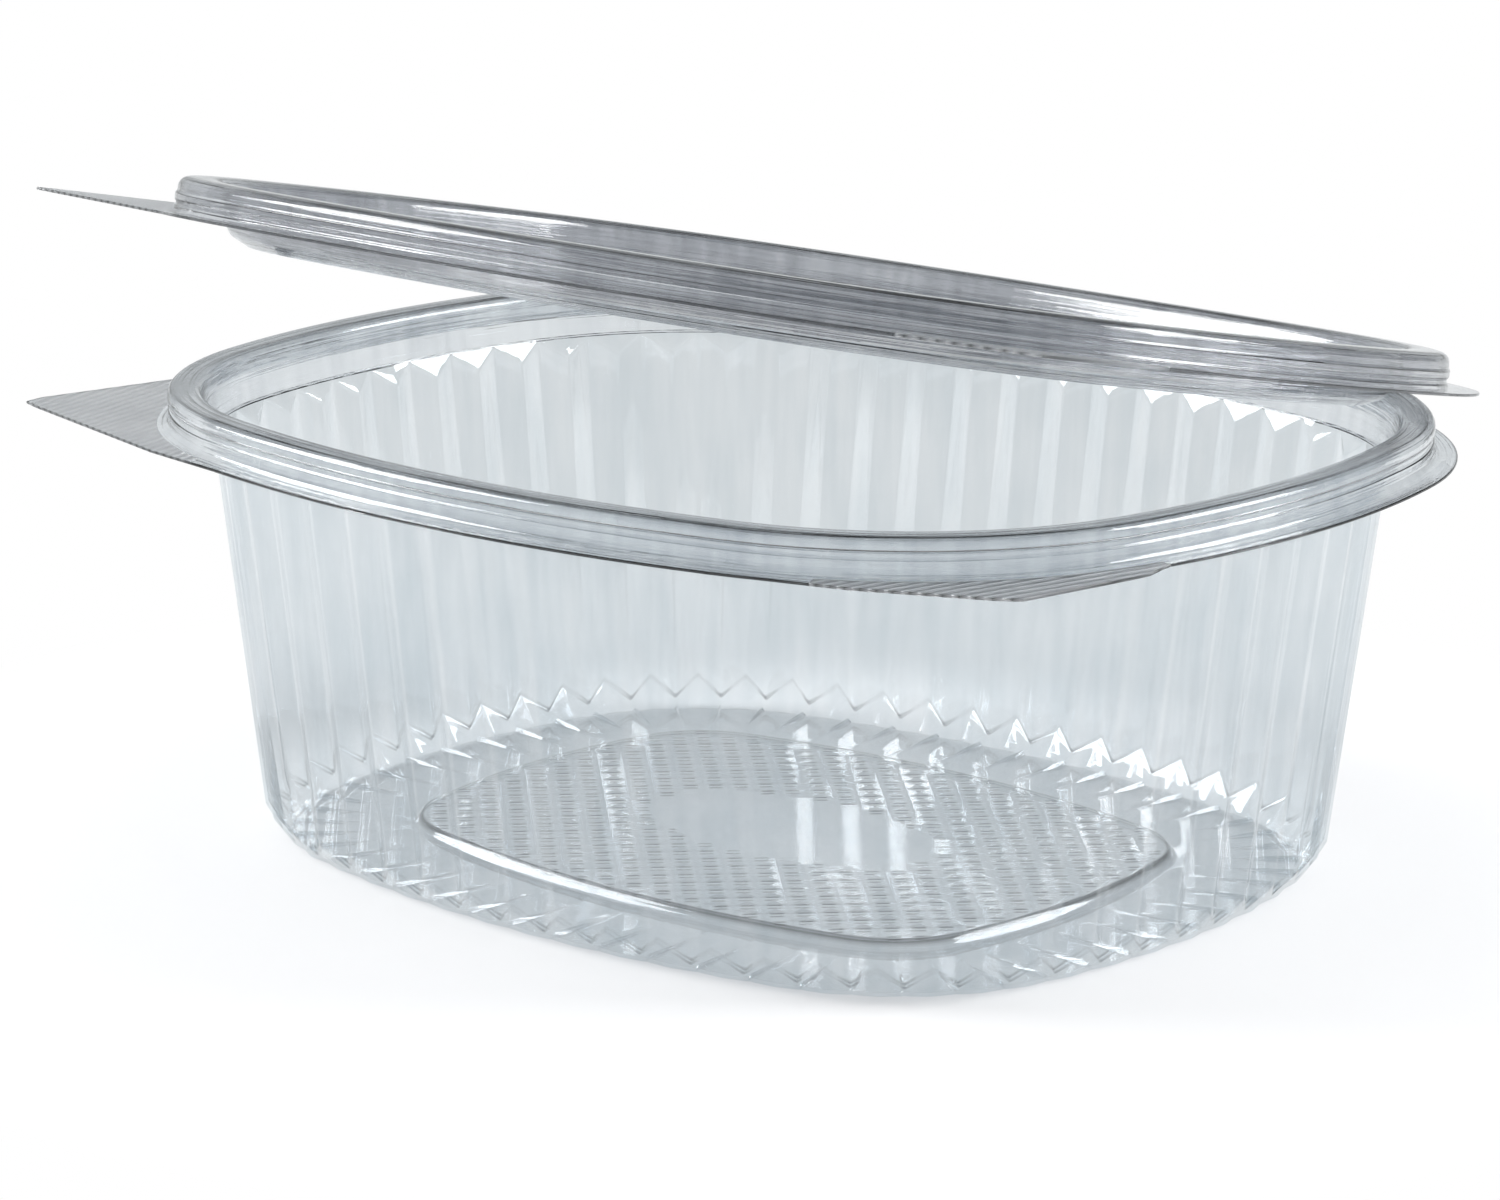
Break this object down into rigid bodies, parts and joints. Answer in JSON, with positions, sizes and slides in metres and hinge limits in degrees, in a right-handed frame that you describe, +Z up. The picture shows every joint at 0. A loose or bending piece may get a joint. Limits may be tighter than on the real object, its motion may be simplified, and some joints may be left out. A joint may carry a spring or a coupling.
{
  "type": "oval deli container",
  "caption": "Clear oval food box with fluted walls, beaded rim, corner grip tabs and a recessed snap lid on a living hinge, standing partly open.",
  "frame": {"origin": "centre of the tray's foot ring, on the table plane", "axes": "+X along the long axis of the oval, +Y towards the hinge, -Y the opening side, +Z up"},
  "size_m": [0.1946, 0.1728, 0.1026],
  "materials": {
    "clear_sheet": "clear gloss"
  },
  "bodies": {
    "tray_body": {"tray": "clear_sheet"},
    "lid_body": {"lid": "clear_sheet"}
  },
  "joints": [
    {"name": "lid_hinge", "type": "hinge", "parent": "tray_body", "child": "lid_body", "pos_m": [0, 0.0924, 0.06295], "axis": [-1, 0, 0], "range_deg": [-11.5, 168.5]}
  ]
}
